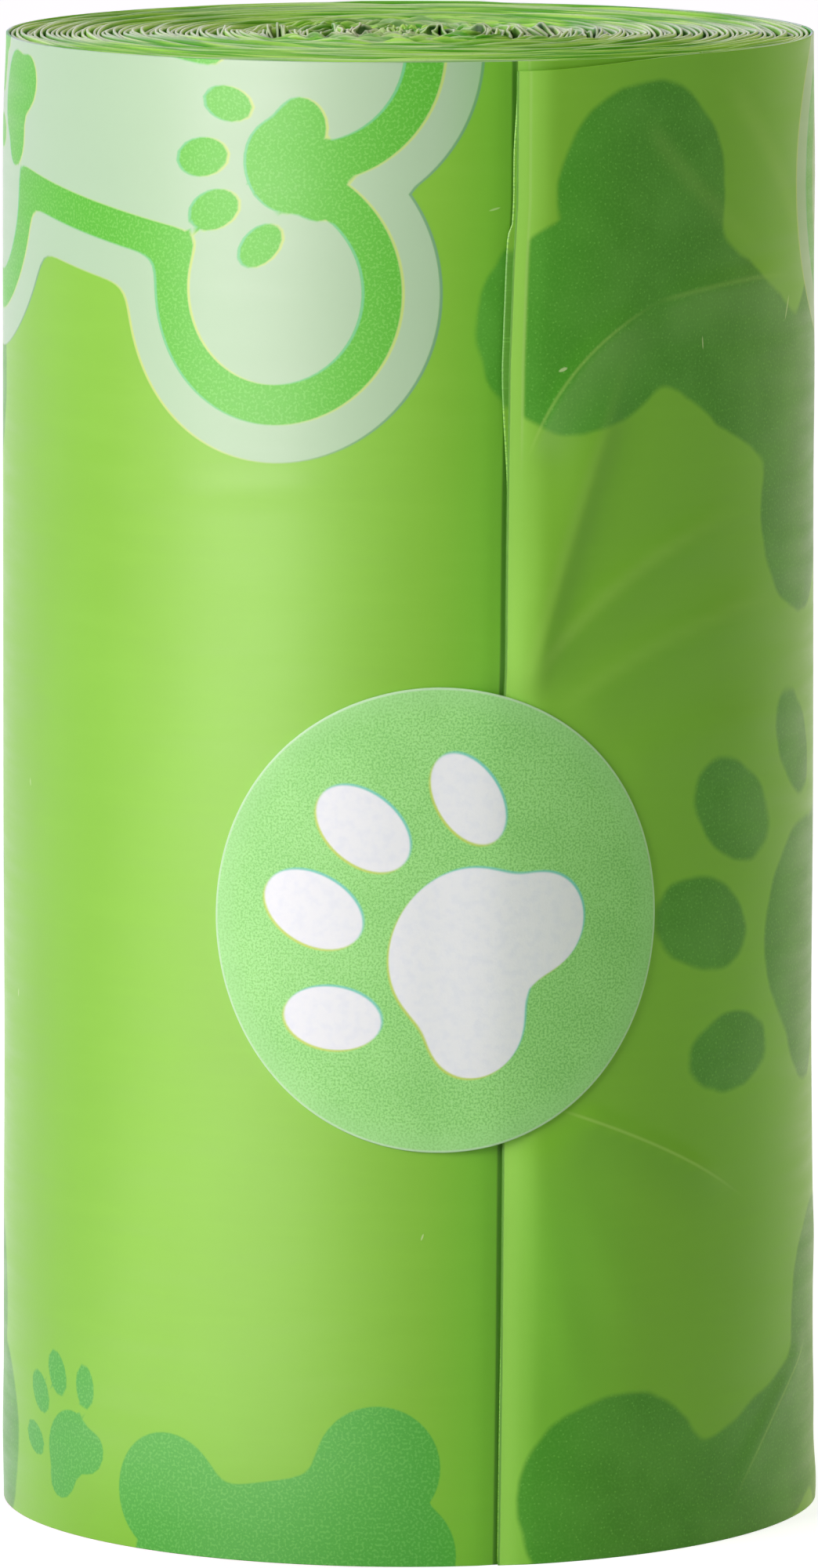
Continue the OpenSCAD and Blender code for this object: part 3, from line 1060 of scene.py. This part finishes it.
def floor_paint():
    """A pale floor. To the camera and in reflections it also glows, so that it meets the white room without
    a line, and it keeps the roll's shadow. In reflections it glows most towards the key lamp, a little way
    from the roll, and is yellower on the right. From below it is clear."""
    paint = Paint("pale_floor")
    rays = paint.node("ShaderNodeLightPath").outputs
    camera = Term(paint, rays["Is Camera Ray"])
    seen = camera.most(Term(paint, rays["Is Glossy Ray"]))
    lit = paint.node("ShaderNodeBsdfDiffuse", None, {"Color": (0.5, 0.5, 0.5)}).outputs[0]
    place = paint.node("ShaderNodeTexCoord").outputs["Object"]
    outwards = paint.node("ShaderNodeVectorMath", {"operation": "NORMALIZE"}, {0: place}).outputs[0]
    towards = Term(paint, paint.node("ShaderNodeVectorMath", {"operation": "DOT_PRODUCT"},
                                     {0: outwards, 1: TOWARDS_KEY}).outputs["Value"])
    right = paint.split(outwards)[0].ramp(0.0, 0.6) * (1 - camera)
    clear_of_foot = paint.distance(place).ramp(20 * MM, 46 * MM)
    strength = towards.ramp(0.60, 1.0) * clear_of_foot * FLOOR_SHEEN + 0.8 - right * 0.12
    tint = paint.mix(towards.ramp(0.60, 0.8), WHITE, SHEEN_TINT)
    tint = paint.mix(right, tint, FLOOR_RIGHT_TINT)
    glow = paint.node("ShaderNodeEmission", None, {"Color": tint, "Strength": strength}).outputs[0]
    both = paint.node("ShaderNodeAddShader", None, {0: lit, 1: glow}).outputs[0]
    shown = paint.node("ShaderNodeMixShader", None, {0: seen, 1: lit, 2: both}).outputs[0]
    below = paint.node("ShaderNodeNewGeometry").outputs["Backfacing"]
    clear = paint.node("ShaderNodeBsdfTransparent").outputs[0]
    shown = paint.node("ShaderNodeMixShader", None, {0: below, 1: shown, 2: clear}).outputs[0]
    paint.node("ShaderNodeOutputMaterial", None, {"Surface": shown})
    return paint.material


def white_room(behind, before):
    """The world: white to the camera. Otherwise an even light that is strong behind the roll and weak in
    front of it, which gives the roll's sides their pale rims."""
    paint = Paint("white_room", bpy.data.worlds.new("white_room"))
    way = paint.node("ShaderNodeTexCoord").outputs["Generated"]
    back = Term(paint, paint.node("ShaderNodeSeparateXYZ", None, {0: way}).outputs[1]).ramp(-0.15, 0.55)
    seen = Term(paint, paint.node("ShaderNodeLightPath").outputs["Is Camera Ray"])
    room = back * (behind - before) + before
    strength = seen.most(room * (1 - seen))
    side = Term(paint, paint.node("ShaderNodeSeparateXYZ", None, {0: way}).outputs[0]).ramp(-0.1, 0.5)
    tint = paint.mix(seen, paint.mix(side, ROOM_LEFT_TINT, ROOM_RIGHT_TINT), WHITE)
    light = paint.node("ShaderNodeBackground", None, {"Color": tint, "Strength": strength})
    paint.node("ShaderNodeOutputWorld", None, {"Surface": light.outputs[0]})
    bpy.context.scene.world = paint.material


def soft_lamp(name, power, target, width, height, place, tint):
    """A rectangular lamp that faces a target."""
    data = bpy.data.lights.new(name, "AREA")
    data.shape = "RECTANGLE"
    data.size, data.size_y = width, height
    data.energy = power
    data.color = tint
    lamp = bpy.data.objects.new(name, data)
    bpy.context.scene.collection.objects.link(lamp)
    lamp.location = place
    way = Vector(target) - Vector(place)
    lamp.rotation_euler = way.to_track_quat("-Z", "Y").to_euler()
    return lamp


# Operators


class BAGROLL_OT_stage(Operator):
    """Sets the camera, the lamps, the white room and the floor"""
    bl_idname = "bagroll.stage"
    bl_label = "Set the stage"

    def execute(self, context):
        stage = context.scene.bag_stage
        scene = context.scene
        data = bpy.data.cameras.new("camera")
        data.lens = stage.lens
        data.clip_start, data.clip_end = 0.01, 10
        camera = bpy.data.objects.new("camera", data)
        camera.location = (0, -stage.camera_back, stage.camera_height)
        camera.rotation_euler = (math.pi / 2 - stage.camera_tilt, 0, 0)
        scene.collection.objects.link(camera)
        scene.camera = camera

        middle = (0, 0, FILM_WIDTH / 2)
        lamps = {name: soft_lamp(name, getattr(stage, name), middle, *form) for name, form in LAMPS.items()}
        lamps["fill"].visible_glossy = False
        lamps["sheen"].visible_diffuse = False
        white_room(stage.room_behind, stage.room_before)

        sides = ((-1, -1), (1, -1), (1, 1), (-1, 1))
        corners = [(x * FLOOR_HALF, y * FLOOR_HALF, -FLOOR_DROP) for x, y in sides]
        mesh = bpy.data.meshes.new("floor")
        mesh.from_pydata(corners, [], [(0, 1, 2, 3)])
        mesh.materials.append(floor_paint())
        floor = bpy.data.objects.new("floor", mesh)
        scene.collection.objects.link(floor)
        scene.view_settings.view_transform = "Standard"
        return {"FINISHED"}


class BAGROLL_OT_wound_turns(Operator):
    """Winds every turn of film inside the outer one, with its pale wavy edges and crushed eye"""
    bl_idname = "bagroll.wound_turns"
    bl_label = "Wind the inner turns"

    def execute(self, context):
        roll = context.scene.bag_roll
        points, faces, numbers = wound_turns_mesh(roll)
        new_piece("wound_turns", points, faces, edge_paint(), "bag_roll", numbers)
        return {"FINISHED"}


class BAGROLL_OT_outer_wrap(Operator):
    """Lays the printed outermost turn with its loose end, and the ply that shows from under that end"""
    bl_idname = "bagroll.outer_wrap"
    bl_label = "Lay the outer turn"

    def execute(self, context):
        roll, seal = context.scene.bag_roll, context.scene.bag_seal
        paint = film_paint(roll)
        for name, shape in (("outer_wrap", outer_wrap_mesh), ("inner_ply", inner_ply_mesh)):
            points, faces, uv, numbers = shape(roll, seal)
            new_piece(name, points, faces, paint, "bag_roll", numbers, uv)
        return {"FINISHED"}


class BAGROLL_OT_seal(Operator):
    """Presses the round paper seal over the loose end"""
    bl_idname = "bagroll.seal"
    bl_label = "Press on the seal"

    def execute(self, context):
        roll, seal = context.scene.bag_roll, context.scene.bag_seal
        points, faces, uv, numbers = seal_mesh(roll, seal)
        new_piece("seal", points, faces, seal_paint(seal), "seal_sticker", numbers, uv)
        return {"FINISHED"}


class BAGROLL_PT_panel(Panel):
    """Sizes and colours of the bag roll, with a button for each step"""
    bl_idname = "BAGROLL_PT_panel"
    bl_label = "Bag roll"
    bl_space_type = "VIEW_3D"
    bl_region_type = "UI"
    bl_category = "Bag roll"

    def draw(self, context):
        for settings in (context.scene.bag_roll, context.scene.bag_seal, context.scene.bag_stage):
            box = self.layout.box()
            for key in type(settings).__annotations__:
                box.prop(settings, key)
        for operator in OPERATORS:
            self.layout.operator(operator.bl_idname)


SETTINGS = {"bag_roll": RollSettings, "bag_seal": SealSettings, "bag_stage": StageSettings}
OPERATORS = (BAGROLL_OT_stage, BAGROLL_OT_wound_turns, BAGROLL_OT_outer_wrap, BAGROLL_OT_seal)


def register():
    for cls in (*SETTINGS.values(), *OPERATORS, BAGROLL_PT_panel):
        bpy.utils.register_class(cls)
    for name, cls in SETTINGS.items():
        setattr(bpy.types.Scene, name, PointerProperty(type=cls))


def unregister():
    for name in SETTINGS:
        delattr(bpy.types.Scene, name)
    for cls in reversed((*SETTINGS.values(), *OPERATORS, BAGROLL_PT_panel)):
        bpy.utils.unregister_class(cls)


def main():
    register()
    bpy.ops.bagroll.stage()
    bpy.ops.bagroll.wound_turns()
    bpy.ops.bagroll.outer_wrap()
    bpy.ops.bagroll.seal()


if __name__ == "__main__":
    main()
